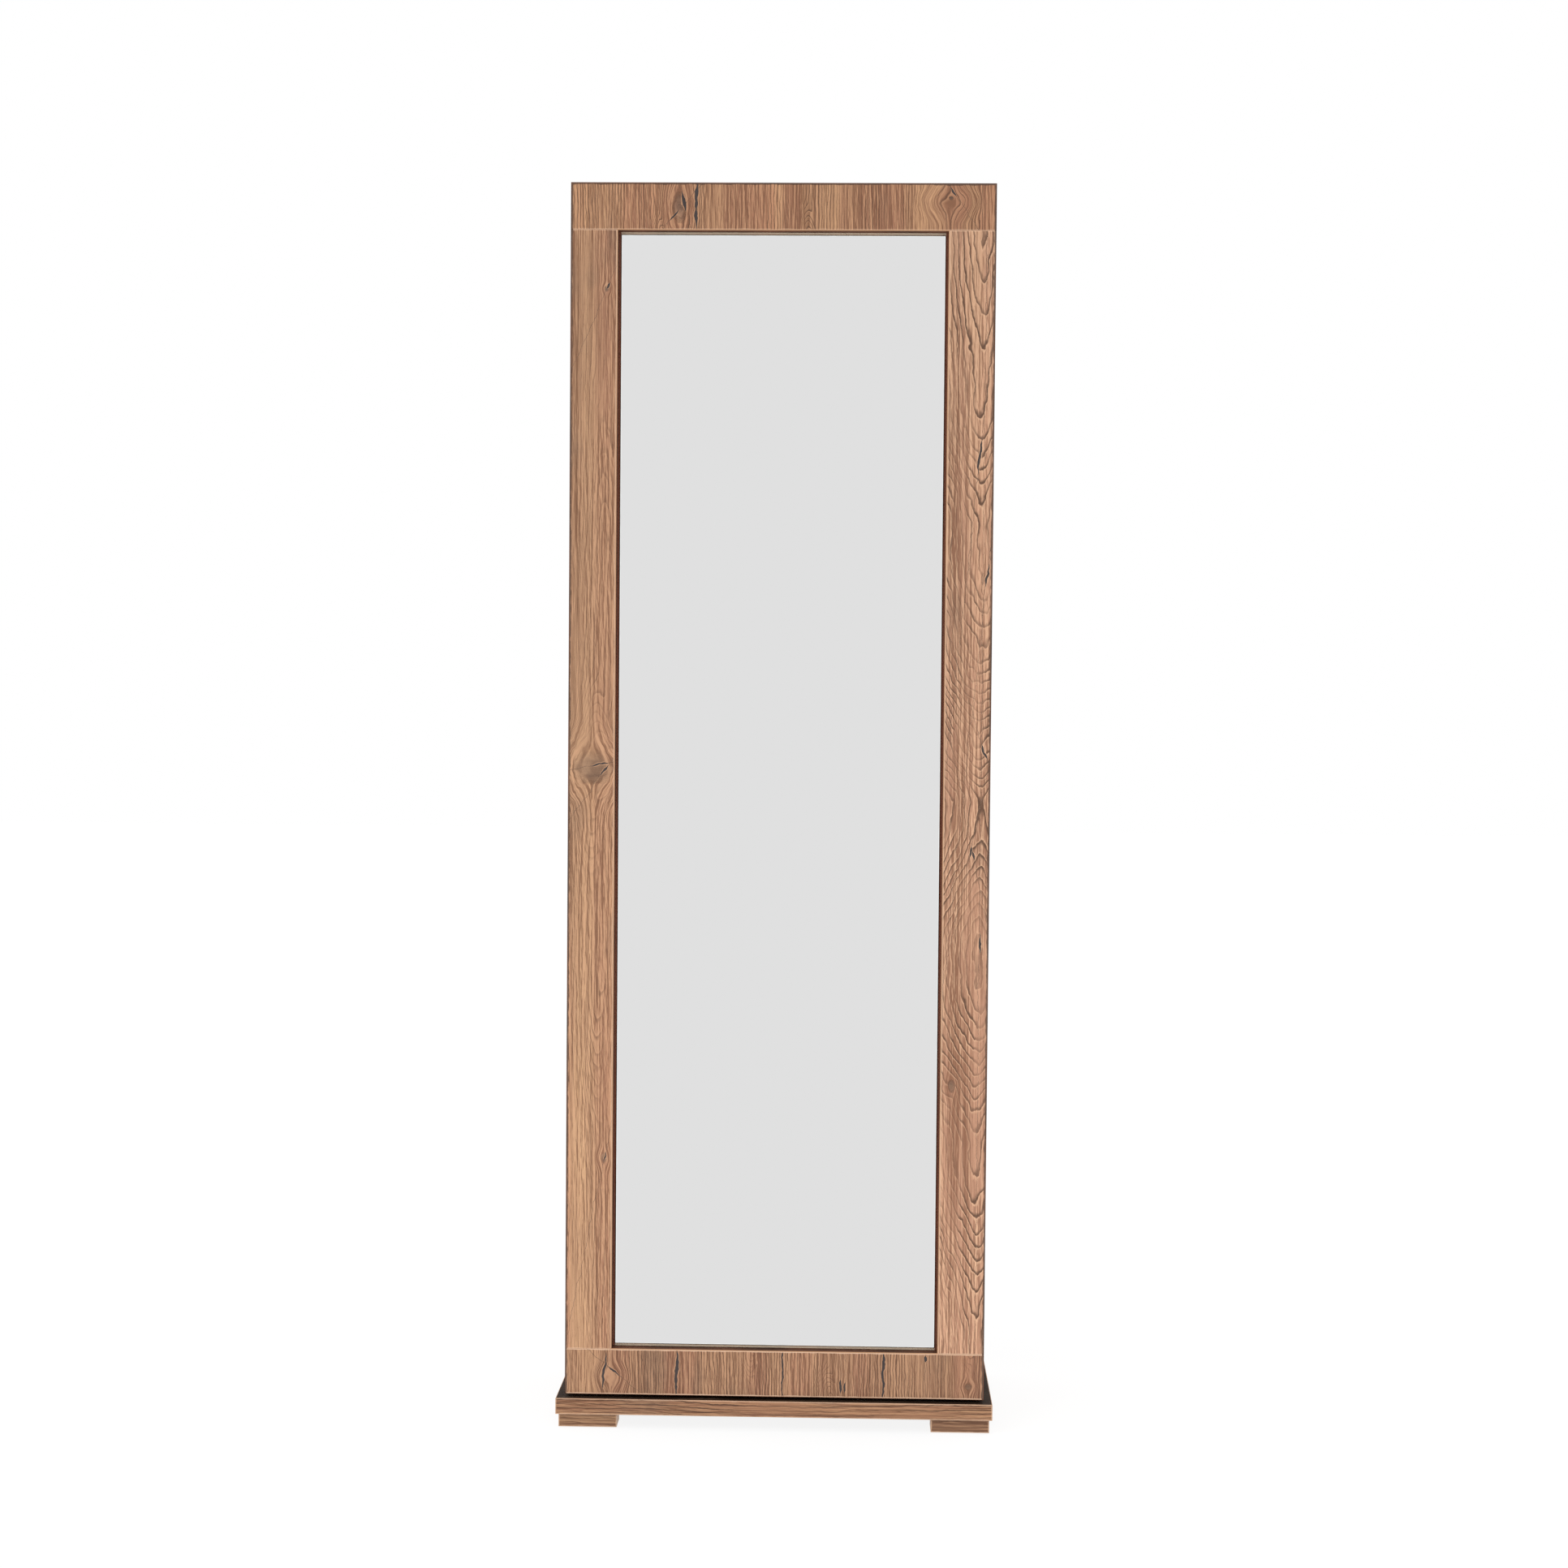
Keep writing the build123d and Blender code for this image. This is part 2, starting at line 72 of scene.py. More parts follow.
class Bench:
    """A node tree with one short call for each kind of node that these finishes use."""

    def __init__(self, tree):
        self.tree = tree

    def add(self, kind, **settings):
        node = self.tree.nodes.new(kind)
        for name, value in settings.items():
            setattr(node, name, value)
        return node

    def feed(self, socket, value):
        if isinstance(value, bpy.types.NodeSocket):
            self.tree.links.new(value, socket)
        else:
            socket.default_value = value

    def maths(self, operation, *values):
        node = self.add("ShaderNodeMath", operation=operation)
        for socket, value in zip(node.inputs, values):
            self.feed(socket, value)
        return node.outputs[0]

    def vector(self, operation, *values):
        node = self.add("ShaderNodeVectorMath", operation=operation)
        for socket, value in zip(node.inputs, values):
            self.feed(socket, value)
        gives_number = operation in ("LENGTH", "DOT_PRODUCT", "DISTANCE")
        return node.outputs["Value" if gives_number else "Vector"]

    def scaled(self, place, *factors):
        return self.vector("MULTIPLY", place, factors)

    def split(self, place):
        node = self.add("ShaderNodeSeparateXYZ")
        self.feed(node.inputs[0], place)
        return node.outputs[0], node.outputs[1], node.outputs[2]

    def join(self, *values):
        node = self.add("ShaderNodeCombineXYZ")
        for socket, value in zip(node.inputs, values):
            self.feed(socket, value)
        return node.outputs[0]

    def ease(self, value, low, high, to_low=0.0, to_high=1.0):
        """A smooth step from to_low to to_high while value goes from low to high."""
        node = self.add("ShaderNodeMapRange", interpolation_type="SMOOTHSTEP")
        for socket, setting in zip(node.inputs, (value, low, high, to_low, to_high)):
            self.feed(socket, setting)
        return node.outputs[0]

    def noise(self, place, scale=1.0, detail=2.0, roughness=0.5):
        node = self.add("ShaderNodeTexNoise")
        self.feed(node.inputs["Vector"], place)
        self.feed(node.inputs["Scale"], scale)
        self.feed(node.inputs["Detail"], detail)
        self.feed(node.inputs["Roughness"], roughness)
        return node.outputs["Fac"]

    def grained(self, place, cells):
        """Scales a place on a board by cells per metre, across the grain and along it."""
        across, along = cells
        return self.scaled(place, across, along, across)

    def figure(self, place, cells, **settings):
        """Noise in cells that are stretched along the grain."""
        return self.noise(self.grained(place, cells), **settings)

    def blend(self, share, first, second, mode="MIX"):
        """Mixes two colours."""
        node = self.add("ShaderNodeMix", data_type="RGBA", blend_type=mode)
        self.feed(node.inputs[0], share)
        self.feed(node.inputs[6], first)
        self.feed(node.inputs[7], second)
        return node.outputs[2]

    def switch(self, share, first, second):
        """Mixes two places."""
        node = self.add("ShaderNodeMix", data_type="VECTOR")
        self.feed(node.inputs[0], share)
        self.feed(node.inputs[4], first)
        self.feed(node.inputs[5], second)
        return node.outputs[1]

    def slide(self, share, first, second):
        """Mixes two numbers."""
        node = self.add("ShaderNodeMix", data_type="FLOAT")
        self.feed(node.inputs[0], share)
        self.feed(node.inputs[2], first)
        self.feed(node.inputs[3], second)
        return node.outputs[0]

    def group(self, tree, **values):
        """Places a node group. Sockets are named in the call, with _ for a space."""
        node = self.add("ShaderNodeGroup", node_tree=tree)
        for name, value in values.items():
            self.feed(node.inputs[name.replace("_", " ").capitalize()], value)
        return node.outputs


SOCKETS = {"number": "NodeSocketFloat", "vector": "NodeSocketVector", "colour": "NodeSocketColor"}


def new_group(name, inputs, outputs):
    """A node group with named sockets. Returns its tree, bench, inputs and output node."""
    tree = bpy.data.node_groups.new(name, "ShaderNodeTree")
    for direction, sockets in (("INPUT", inputs), ("OUTPUT", outputs)):
        for label, kind in sockets.items():
            tree.interface.new_socket(name=label, in_out=direction, socket_type=SOCKETS[kind])
    bench = Bench(tree)
    entry = bench.add("NodeGroupInput")
    leave = bench.add("NodeGroupOutput")
    return tree, bench, entry.outputs, leave.inputs


def grey(value):
    """A neutral colour."""
    return (value, value, value, 1.0)


print("bench ready, with sockets for", ", ".join(SOCKETS))

# %% [markdown]
# ## Grain that flows round knots
#
# A knot is where a branch met the trunk. The growth rings of the trunk part round it, and the
# branch shows its own small rings. A ring pattern could be painted as a picture, but a
# field is better: `Place` holds how far a point is across and along the grain, and each knot
# pulls the across value towards its own centre. Lines drawn later from that value then crowd
# round the knot. Knots chain one after another, so the group passes on what it was given.

# %% Group: one knot
KNOT_RINGS = 3.2  # rings that the branch shows inside the knot
KNOT_PULL = 0.92

knot_group, b, given, made = new_group(
    "knot",
    {"Place": "vector", "Heart": "number", "Core": "number", "Centre": "vector",
     "Size": "vector", "Gloom": "number"},
    {"Place": "vector", "Heart": "number", "Core": "number"},
)
offset = b.vector("SUBTRACT", given["Place"], given["Centre"])
across, along, depth = b.split(b.vector("DIVIDE", offset, given["Size"]))
ragged = b.maths("SUBTRACT", b.noise(b.scaled(given["Place"], 70, 45, 70), detail=2), 0.5)
reach = b.vector("LENGTH", b.join(across, along, 0.0))
reach = b.maths("MULTIPLY_ADD", ragged, 0.8, reach)
pull = b.ease(reach, 0.3, 3.2, KNOT_PULL, 0.0)
shift = b.maths("MULTIPLY", b.split(offset)[0], pull)
heart = b.ease(reach, 0.35, 1.15, 1.0, 0.0)
rings = b.maths("MULTIPLY", reach, KNOT_RINGS)
b.feed(made["Place"], b.vector("SUBTRACT", given["Place"], b.join(shift, 0.0, 0.0)))
b.feed(made["Heart"], b.maths("MAXIMUM", given["Heart"], b.maths("MULTIPLY", heart, given["Gloom"])))
b.feed(made["Core"], b.slide(heart, given["Core"], rings))
print("group:", knot_group.name)

# %% [markdown]
# ## Cathedral arches
#
# A board sawn flat through a trunk shows nested arches, because each yearly ring is a slender
# cone and the saw cuts the cones at a slant. The cut through a cone is close to a parabola,
# so the field of the rings is the place along the board minus the square of the distance
# from the axis of the arches. A smooth step stops it at both ends, where the grain is
# straight again. A negative length turns the tips the other way.

# %% Group: nested arches
arch_group, b, given, made = new_group(
    "arch",
    {"Place": "vector", "Bend": "number", "Centre": "vector", "Size": "vector",
     "Rings": "number"},
    {"Bend": "number"},
)
offset = b.vector("SUBTRACT", given["Place"], given["Centre"])
across, along, depth = b.split(b.vector("DIVIDE", offset, given["Size"]))
parabola = b.maths("SUBTRACT", along, b.maths("MULTIPLY", across, across))
rings = b.maths("MULTIPLY", given["Rings"], b.ease(parabola, -1.0, 1.0, -1.0, 1.0))
b.feed(made["Bend"], b.maths("ADD", given["Bend"], rings))
print("group:", arch_group.name)

# %% [markdown]
# ## Drying cracks
#
# Old pine opens along the grain in short dark splits that wander a little and taper at both
# ends. One group makes one split: a thin line whose width shrinks towards its ends. `Slant`
# turns it, because the splits inside a knot run out from its middle. It returns a nearness:
# one in the split, and down to nothing a few widths away. The decor makes the dark split
# from the high values, and its pale lip from the middle ones.

# %% Group: one crack
crack_group, b, given, made = new_group(
    "crack",
    {"Place": "vector", "Mask": "number", "Centre": "vector", "Size": "vector",
     "Slant": "number"},
    {"Mask": "number"},
)
turn = b.add("ShaderNodeVectorRotate", rotation_type="Z_AXIS")
b.feed(turn.inputs["Vector"], b.vector("SUBTRACT", given["Place"], given["Centre"]))
b.feed(turn.inputs["Angle"], given["Slant"])
wander = b.noise(b.scaled(given["Place"], 60, 60, 60), detail=2)
sway = b.maths("MULTIPLY", b.maths("SUBTRACT", wander, 0.5), 0.008)
across, along, depth = b.split(b.vector("SUBTRACT", turn.outputs[0], b.join(sway, 0.0, 0.0)))
half_width, half_length, unused_depth = b.split(given["Size"])
taper = b.ease(b.maths("ABSOLUTE", b.maths("DIVIDE", along, half_length)), 0.2, 1.0, 1.0, 0.0)
broken = b.ease(b.noise(b.scaled(given["Place"], 90, 90, 90), detail=1), 0.3, 0.55, 0.6, 1.0)
width_here = b.maths("MULTIPLY", b.maths("MULTIPLY", half_width, taper), broken)
side = b.maths("DIVIDE", b.maths("ABSOLUTE", across), b.maths("MAXIMUM", width_here, 0.0001))
b.feed(made["Mask"], b.maths("MAXIMUM", given["Mask"], b.ease(side, 0.5, 3.5, 1.0, 0.0)))
print("group:", crack_group.name)

# %% [markdown]
# ## The printed timber decor
#
# The boards are particle board under a printed and embossed foil. Up close it shows five
# things at once: broad tone changes from plank to plank, streaks a few millimetres wide,
# dark late-wood lines with a painted highlight beside them on the embossed edge, single pale
# hairlines, and fine fibres with short pores; the emboss adds painted light and shade. Each is noise
# or a ring line stretched along the grain, so one group serves every board, and each board gives it
# its own knots and tones.
#
# The ring lines come from one number, the ring field: a line is drawn wherever the field
# passes a whole number. The field starts as the distance from the axis of the trunk. A
# distance is the same on both sides of the axis, so arches close there by themselves.

# %% Tones and grain sizes of the decor
SOOT = (0.045, 0.024, 0.016, 1.0)
CRACK_BLACK = (0.028, 0.026, 0.030, 1.0)
ASH_DARK = (0.085, 0.056, 0.042, 1.0)
ASH_PALE = (0.235, 0.145, 0.092, 1.0)
PLANK_DULL = (0.94, 0.86, 0.86, 1.0)
PLANK_BRIGHT = (1.10, 1.15, 1.11, 1.0)

# cells of noise per metre, across the grain and along it
SLOW_SWAY = (14, 2.2)
QUICK_SWAY = (75, 34)
PATCHES = (30, 5.5)
RIDGES = (185, 6)
RIPPLES = (330, 30)
CALM_AREAS = (19, 2.6)
TONES = (24, 0.9)
STREAKS = (210, 2.6)
PLANKS = (21, 0.3)
WISPS = (48, 0.8)
FIBRES = (640, 14)
PORES = (1100, 100)
SMOKE = (120, 70)
SMUDGES = (20, 6)
RIDGE_LIGHT = (0.24, 0.0, 0.0)
RIPPLE_LIGHT = (0.30, 0.05, 0.0)
print("finest grain:", 1 / PORES[0], "m, widest:", 1 / SLOW_SWAY[0], "m")

# %% Group: timber decor, its ring lines
decor_group, b, given, made = new_group(
    "timber_decor",
    {"Place": "vector", "Flow": "vector", "Bend": "number", "Heart": "number",
     "Core": "number", "Crack": "number", "Pitch": "number", "Axis": "number",
     "Blunt": "number", "Relief": "number", "Wobble": "number", "Pale": "colour",
     "Middle": "colour", "Dark": "colour"},
    {"Colour": "colour", "Height": "number", "Roughness": "number"},
)
place, flow = given["Place"], given["Flow"]

# the ring field: the distance from the axis of the trunk over the ring pitch, bent by
# arches and by slow noise. Blunt is how round the tips of the arches are on that axis.
slow = b.maths("SUBTRACT", b.figure(flow, SLOW_SWAY, detail=2), 0.5)
quick = b.maths("SUBTRACT", b.figure(flow, QUICK_SWAY, detail=3), 0.5)
from_axis = b.join(b.maths("SUBTRACT", b.split(flow)[0], given["Axis"]), given["Blunt"], 0.0)
field = b.maths("SUBTRACT", b.vector("LENGTH", from_axis), given["Blunt"])
field = b.maths("DIVIDE", field, given["Pitch"])
field = b.maths("ADD", field, given["Bend"])
field = b.maths("MULTIPLY_ADD", slow, 5.0, field)
field = b.maths("MULTIPLY_ADD", quick, given["Wobble"], field)
field = b.slide(b.ease(given["Heart"], 0.05, 0.5), field, given["Core"])
phase = b.maths("FRACT", field)

# a late-wood line is a slow darkening and a sharp end, with a pale lip just after it: a painted
# highlight on the embossed edge
darkening = b.ease(phase, 0.62, 0.9)
sharp_end = b.ease(phase, 0.94, 1.0, 1.0, 0.0)
line = b.maths("MULTIPLY", darkening, sharp_end)
lip = b.ease(phase, 0.0, 0.2, 1.0, 0.0)
patchy = b.ease(b.figure(flow, PATCHES, detail=2), 0.38, 0.62)
strength = b.maths("MULTIPLY", given["Relief"], b.slide(patchy, 0.3, 1.0))
line = b.maths("MULTIPLY", line, strength)
lip = b.maths("MULTIPLY", lip, strength)
print("ring lines drawn in:", decor_group.name)

# %% [markdown]
# The foil is pressed with a grain, and the emboss's light and shade are painted into the colour
# as if lit from the left. A height field minus the same field moved a little gives exactly that:
# painted highlight on one slope and painted shade on the other, the same in every view.

# %% Timber decor: emboss with painted light and shade
ridges = b.grained(flow, RIDGES)
lit_ridges = b.vector("ADD", ridges, RIDGE_LIGHT)
emboss_shade_and_height = b.maths("SUBTRACT", b.noise(ridges, detail=3, roughness=0.6),
                 b.noise(lit_ridges, detail=3, roughness=0.6))
ripples = b.grained(flow, RIPPLES)
lit_ripples = b.vector("ADD", ripples, RIPPLE_LIGHT)
fine_emboss = b.maths("SUBTRACT", b.noise(ripples, detail=2), b.noise(lit_ripples, detail=2))
emboss_shade_and_height = b.maths("MULTIPLY_ADD", fine_emboss, 0.8, emboss_shade_and_height)
calm = b.figure(flow, CALM_AREAS, detail=2)
emboss_shade_and_height = b.maths("MULTIPLY", emboss_shade_and_height, b.ease(calm, 0.38, 0.60, 0.35, 1.6))
print("emboss cells:", RIDGES, "and", RIPPLES)

# %% [markdown]
# The colour is laid in layers, as a printer lays inks: tones and streaks first, then fibres,
# planks, hairlines and the emboss's painted light and shade, and the dark lines, their painted
# highlights and pores last. Each layer is a noise with its own cells, and an easing turns it into how
# much of the next tone covers the last.

# %% Timber decor: tones, streaks and lines
tone = b.figure(flow, TONES, detail=2, roughness=0.6)
streak = b.figure(flow, STREAKS, detail=4, roughness=0.72)
plank = b.ease(b.figure(flow, PLANKS, detail=1), 0.44, 0.56)
wisp = b.figure(flow, WISPS, detail=3, roughness=0.6)
fibre = b.figure(flow, FIBRES, detail=3, roughness=0.65)
pore = b.ease(b.figure(place, PORES, detail=1), 0.66, 0.78)
mellow = b.maths("MULTIPLY_ADD", streak, 0.55, b.maths("MULTIPLY", tone, 0.75))
hairline = b.ease(b.maths("ABSOLUTE", b.maths("SUBTRACT", wisp, 0.53)), 0.0, 0.012, 1.0, 0.0)
hairline = b.maths("MULTIPLY", hairline, patchy)

colour = b.blend(b.ease(mellow, 0.49, 0.64), given["Dark"], given["Middle"])
colour = b.blend(b.ease(mellow, 0.63, 0.80), colour, given["Pale"])
colour = b.blend(b.ease(fibre, 0.3, 0.56, 0.55, 0.0), colour, given["Dark"])
colour = b.blend(b.ease(fibre, 0.5, 0.74, 0.0, 0.5), colour, given["Pale"])
plank_tone = b.blend(plank, PLANK_DULL, PLANK_BRIGHT)
colour = b.blend(1.0, colour, plank_tone, mode="MULTIPLY")
colour = b.blend(b.maths("MULTIPLY", hairline, 0.8), colour, given["Pale"])
# painted shade and painted highlight on the emboss's slopes, as if lit from the left
colour = b.blend(b.ease(emboss_shade_and_height, -0.14, 0.0, 0.75, 0.0), colour, given["Dark"])
colour = b.blend(b.ease(emboss_shade_and_height, 0.0, 0.14, 0.0, 0.75), colour, given["Pale"])
deep = b.blend(0.6, given["Dark"], SOOT)
colour = b.blend(b.maths("MULTIPLY", line, 0.9), colour, deep)
# the pale lip after each line is a painted highlight on the embossed edge
colour = b.blend(b.maths("MULTIPLY", lip, 0.7), colour, given["Pale"])
colour = b.blend(b.maths("MULTIPLY", pore, 0.35), colour, deep)
print("colour layers so far:", len(decor_group.nodes), "nodes")

# %% [markdown]
# Age comes last: grey ash round the knots and in a few smudges, and the open cracks with
# their pale lips. The same marks then make the height for the bump: lines, pores and cracks
# are low, lips and fibres are high.

# %% Timber decor: ash, cracks and height
smoke = b.figure(flow, SMOKE, detail=3, roughness=0.6)
ash = b.blend(b.ease(smoke, 0.35, 0.65), ASH_DARK, ASH_PALE)
smudge = b.ease(b.figure(flow, SMUDGES, detail=3), 0.56, 0.74, 0.0, 0.36)
sooted = b.maths("MAXIMUM", b.maths("MULTIPLY", given["Heart"], 0.8), smudge)
colour = b.blend(sooted, colour, ash)
split = b.ease(given["Crack"], 0.70, 0.88)
crack_lip = b.ease(given["Crack"], 0.12, 0.45, 0.0, 0.7)
colour = b.blend(crack_lip, colour, given["Pale"])
colour = b.blend(b.maths("MULTIPLY", split, 0.95), colour, CRACK_BLACK)

relief = b.maths("MULTIPLY_ADD", line, -1.0, b.maths("MULTIPLY", lip, 0.5))
relief = b.maths("MULTIPLY_ADD", fibre, 0.35, relief)
relief = b.maths("MULTIPLY_ADD", emboss_shade_and_height, 1.5, relief)
relief = b.maths("MULTIPLY_ADD", pore, -0.5, relief)
relief = b.maths("MULTIPLY_ADD", split, -2.0, relief)
b.feed(made["Colour"], colour)
b.feed(made["Height"], relief)
b.feed(made["Roughness"], b.ease(fibre, 0.2, 0.8, 0.6, 0.46))
print("group:", decor_group.name)

# %% [markdown]
# ## Arrises
#
# Foil and edge band meet along every edge of a board, and the machine trims them to a fine
# pale line; the line is also a painted highlight on the rounded arris. Handling wears it unevenly.
# The line follows the outline of the board, which the frame knows exactly, so the mask is just
# the distance to the nearest side of a box, with a little noise. The group works in the plane of the
# face, X and Z.

# %% Group: line along the edges of a box
rim_group, b, given, made = new_group(
    "rim_line",
    {"Position": "vector", "Low": "vector", "High": "vector", "Width": "number"},
    {"Mask": "number"},
)
from_low = b.vector("SUBTRACT", given["Position"], given["Low"])
from_high = b.vector("SUBTRACT", given["High"], given["Position"])
near_x, unused_y, near_z = b.split(b.vector("MINIMUM", from_low, from_high))
gap = b.maths("MINIMUM", near_x, near_z)
worn = b.noise(b.scaled(given["Position"], 90, 90, 90), detail=2)
gap = b.maths("MULTIPLY_ADD", b.maths("SUBTRACT", worn, 0.5), given["Width"], gap)
b.feed(made["Mask"], b.ease(gap, b.maths("MULTIPLY", given["Width"], 0.6), given["Width"],
                            1.0, 0.0))
print("group:", rim_group.name)

# %% [markdown]
# ## A board's material
#
# The function takes what makes one board differ from the next: its box, the way its grain
# runs, its tones, and its own knots, arches and cracks. Places on a board are given from its
# middle, across and along the grain, in metres. The shader itself stays in the material:
# a satin foil is a Principled BSDF with a thin coat.

# %% Function: a timber material
AXES = {"X": 0, "Y": 1, "Z": 2}
RING_PITCH = 0.0065
FAR_AXIS = -1.0  # a board sawn this far from the middle of the trunk has straight grain
EMBOSS_DEPTH = 0.0004
ARRIS_WIDTH = 0.0017
OUTLINE_WIDTH = 0.0034
# the pale arris line: partly the trimmed edge, partly a painted highlight
PALE_ARRIS_AND_HIGHLIGHT = (0.70, 0.46, 0.31, 1.0)
UMBER = (0.045, 0.02, 0.012, 1.0)


def shades(red, green, blue, spread=1.0):
    """The dark, middle and pale tone of a timber, from its middle tone."""
    darker = (1 - 0.50 * spread, 1 - 0.58 * spread, 1 - 0.64 * spread)
    paler = (1 + 0.48 * spread, 1 + 0.56 * spread, 1 + 0.52 * spread)
    middle = (red, green, blue)
    dark = [part * factor for part, factor in zip(middle, darker)]
    pale = [part * factor for part, factor in zip(middle, paler)]
    return {"dark": (*dark, 1.0), "middle": (*middle, 1.0), "pale": (*pale, 1.0)}


HONEY_BROWN = shades(0.355, 0.185, 0.104)


def new_material(name):
    """An empty material with a Principled BSDF. Returns it, its bench and the shader."""
    material = bpy.data.materials.new(name)
    material.use_nodes = True
    bench = Bench(material.node_tree)
    return material, bench, material.node_tree.nodes["Principled BSDF"]


def grain_place(bench, position, centre, grain, across):
    """Object position turned into across, along and depth, from the board's middle."""
    parts = bench.split(bench.vector("SUBTRACT", position, centre))
    third = ({"X", "Y", "Z"} - {grain, across}).pop()
    slanted = bench.maths("MULTIPLY_ADD", parts[AXES[third]], 0.35, parts[AXES[across]])
    return bench.join(slanted, parts[AXES[grain]], parts[AXES[third]])


def flow_round_knots(bench, place, knots):
    """Chains the knot group. A knot is across, along, half width, half length and gloom."""
    flow, heart, core = place, 0.0, 0.0
    for across, along, half_width, half_length, gloom in knots:
        out = bench.group(knot_group, place=flow, heart=heart, core=core, gloom=gloom,
                          centre=(across, along, 0.0), size=(half_width, half_length, 1.0))
        flow, heart, core = out["Place"], out["Heart"], out["Core"]
    return flow, heart, core


def stack_arches(bench, flow, arches):
    """Adds up arches. An arch is across, along, half width, tip length and rings."""
    bend = 0.0
    for across, along, half_width, tip_length, rings in arches:
        bend = bench.group(arch_group, place=flow, bend=bend, rings=rings,
                           centre=(across, along, 0.0),
                           size=(half_width, tip_length, 1.0))["Bend"]
    return bend


ACROSS_THE_BOARD = 9.0  # a half width in metres: so wide that only the trunk's axis bends it


def stretch_cones(*cones):
    """Arches over the whole width of a board, from where they are, tip length and rings."""
    return [(0.0, along, ACROSS_THE_BOARD, length, rings) for along, length, rings in cones]


def open_cracks(bench, place, cracks):
    """Gathers cracks. A crack is across, along, half width, half length and slant."""
    mask = 0.0
    for across, along, half_width, half_length, slant in cracks:
        mask = bench.group(crack_group, place=place, mask=mask, slant=slant,
                           centre=(across, along, 0.0),
                           size=(half_width, half_length, 1.0))["Mask"]
    return mask


def timber(name, centre, grain="Z", across="X", tones=HONEY_BROWN, pitch=RING_PITCH,
           axis=FAR_AXIS, blunt=0.0, relief=0.6, wobble=0.9, knots=(), arches=(), cracks=(), seed=0.0,
           arris_of=None, arris=0.6, outline_of=None, outline_drop=0.0, gloss=0.3,
           drift=None, upright_beyond=None):
    """A satin timber decor for one board.

    Drift is how much the low and the high end of the board brighten. Outline drop lowers the
    dark outline below the board, so that its bottom edge stays pale. Beyond the given
    distance from the middle, upright_beyond turns the grain by a quarter.
    """
    material, bench, shader = new_material(name)
    position = bench.add("ShaderNodeTexCoord").outputs["Object"]
    place = grain_place(bench, position, centre, grain, across)
    if upright_beyond:
        outward = bench.maths("ABSOLUTE", bench.split(position)[0])
        upright = bench.maths("GREATER_THAN", outward, upright_beyond)
        turned = grain_place(bench, position, centre, across, grain)
        place = bench.switch(upright, place, turned)
    flow, heart, core = flow_round_knots(bench, place, knots)
    bend = stack_arches(bench, flow, arches)
    crack = open_cracks(bench, place, cracks)
    flow = bench.vector("ADD", flow, (0.0, seed, seed))
    decor = bench.group(decor_group, place=place, flow=flow, bend=bend, heart=heart, core=core,
                        crack=crack, pitch=pitch, axis=axis, blunt=blunt, relief=relief,
                        wobble=wobble, **tones)
    colour = decor["Colour"]
    if drift:
        reach = max(board_size(arris_of)) / 2
        along = bench.split(place)[1]
        gain = bench.ease(along, -reach, reach, *drift)
        colour = bench.vector("SCALE", colour)
        bench.feed(colour.node.inputs["Scale"], gain)
    if arris_of:
        low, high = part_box(arris_of)
        mask = bench.group(rim_group, position=position, low=low, high=high,
                           width=ARRIS_WIDTH)["Mask"]
        # pale arris line mixed in: partly the trimmed edge, partly a painted highlight
        colour = bench.blend(bench.maths("MULTIPLY", mask, arris), colour, PALE_ARRIS_AND_HIGHLIGHT)
    if outline_of:
        low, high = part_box(outline_of)
        low = (low[0], low[1], low[2] - outline_drop)
        mask = bench.group(rim_group, position=position, low=low, high=high,
                           width=OUTLINE_WIDTH)["Mask"]
        colour = bench.blend(bench.maths("MULTIPLY", mask, 0.85), colour, UMBER)
    bump = bench.add("ShaderNodeBump")
    bump.inputs["Distance"].default_value = EMBOSS_DEPTH
    bump.inputs["Strength"].default_value = 0.8
    bench.feed(bump.inputs["Height"], decor["Height"])
    bench.feed(shader.inputs["Base Color"], colour)
    bench.feed(shader.inputs["Roughness"], decor["Roughness"])
    bench.feed(shader.inputs["Normal"], bump.outputs["Normal"])
    shader.inputs["Coat Weight"].default_value = 0.15 * gloss
    shader.inputs["Coat Roughness"].default_value = 0.3
    shader.inputs["Specular IOR Level"].default_value = gloss
    return material


def dress(material, *nodes):
    """Gives a material to CAD nodes through their objects' slots."""
    for name in nodes:
        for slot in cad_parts[name].material_slots:
            slot.material = material
    print(material.name, "on", ", ".join(nodes))


# %% [markdown]
# ## The four frame boards
#
# The rails run the full width, and the stiles stand between them. The decor's grain is
# upright on all four, because they are sawn from one printed sheet without turning it. Each
# board shows another part of the print, so each has its own knots, arches and cracks. The
# right stile shows wood from near the axis of its trunk, so its arches fill the board.

# %% Top rail
top_rail_wood = timber(
    "timber_top_rail", board_centre("top_rail"), seed=1.3, relief=1.0, wobble=1.5,
    pitch=0.0040, arris_of="top_rail", arris=0.3, outline_of="frame_outer_band",
    tones=shades(0.335, 0.170, 0.096, 0.95),
    knots=[(-0.143, -0.002, 0.010, 0.020, 0.7), (0.223, 0.012, 0.0032, 0.0028, 1.0),
           (0.221, 0.006, 0.016, 0.010, 0.0)],
    arches=[(0.026, -0.010, 0.011, -0.026, 2.5), (-0.172, -0.016, 0.010, -0.018, 1.5)],
    cracks=[(-0.121, 0.004, 0.0019, 0.045, 0.0), (-0.138, 0.006, 0.0013, 0.018, -0.3),
            (-0.150, -0.012, 0.0010, 0.012, 0.7), (0.226, 0.020, 0.0007, 0.009, -0.6)],
)
dress(top_rail_wood, "top_rail")

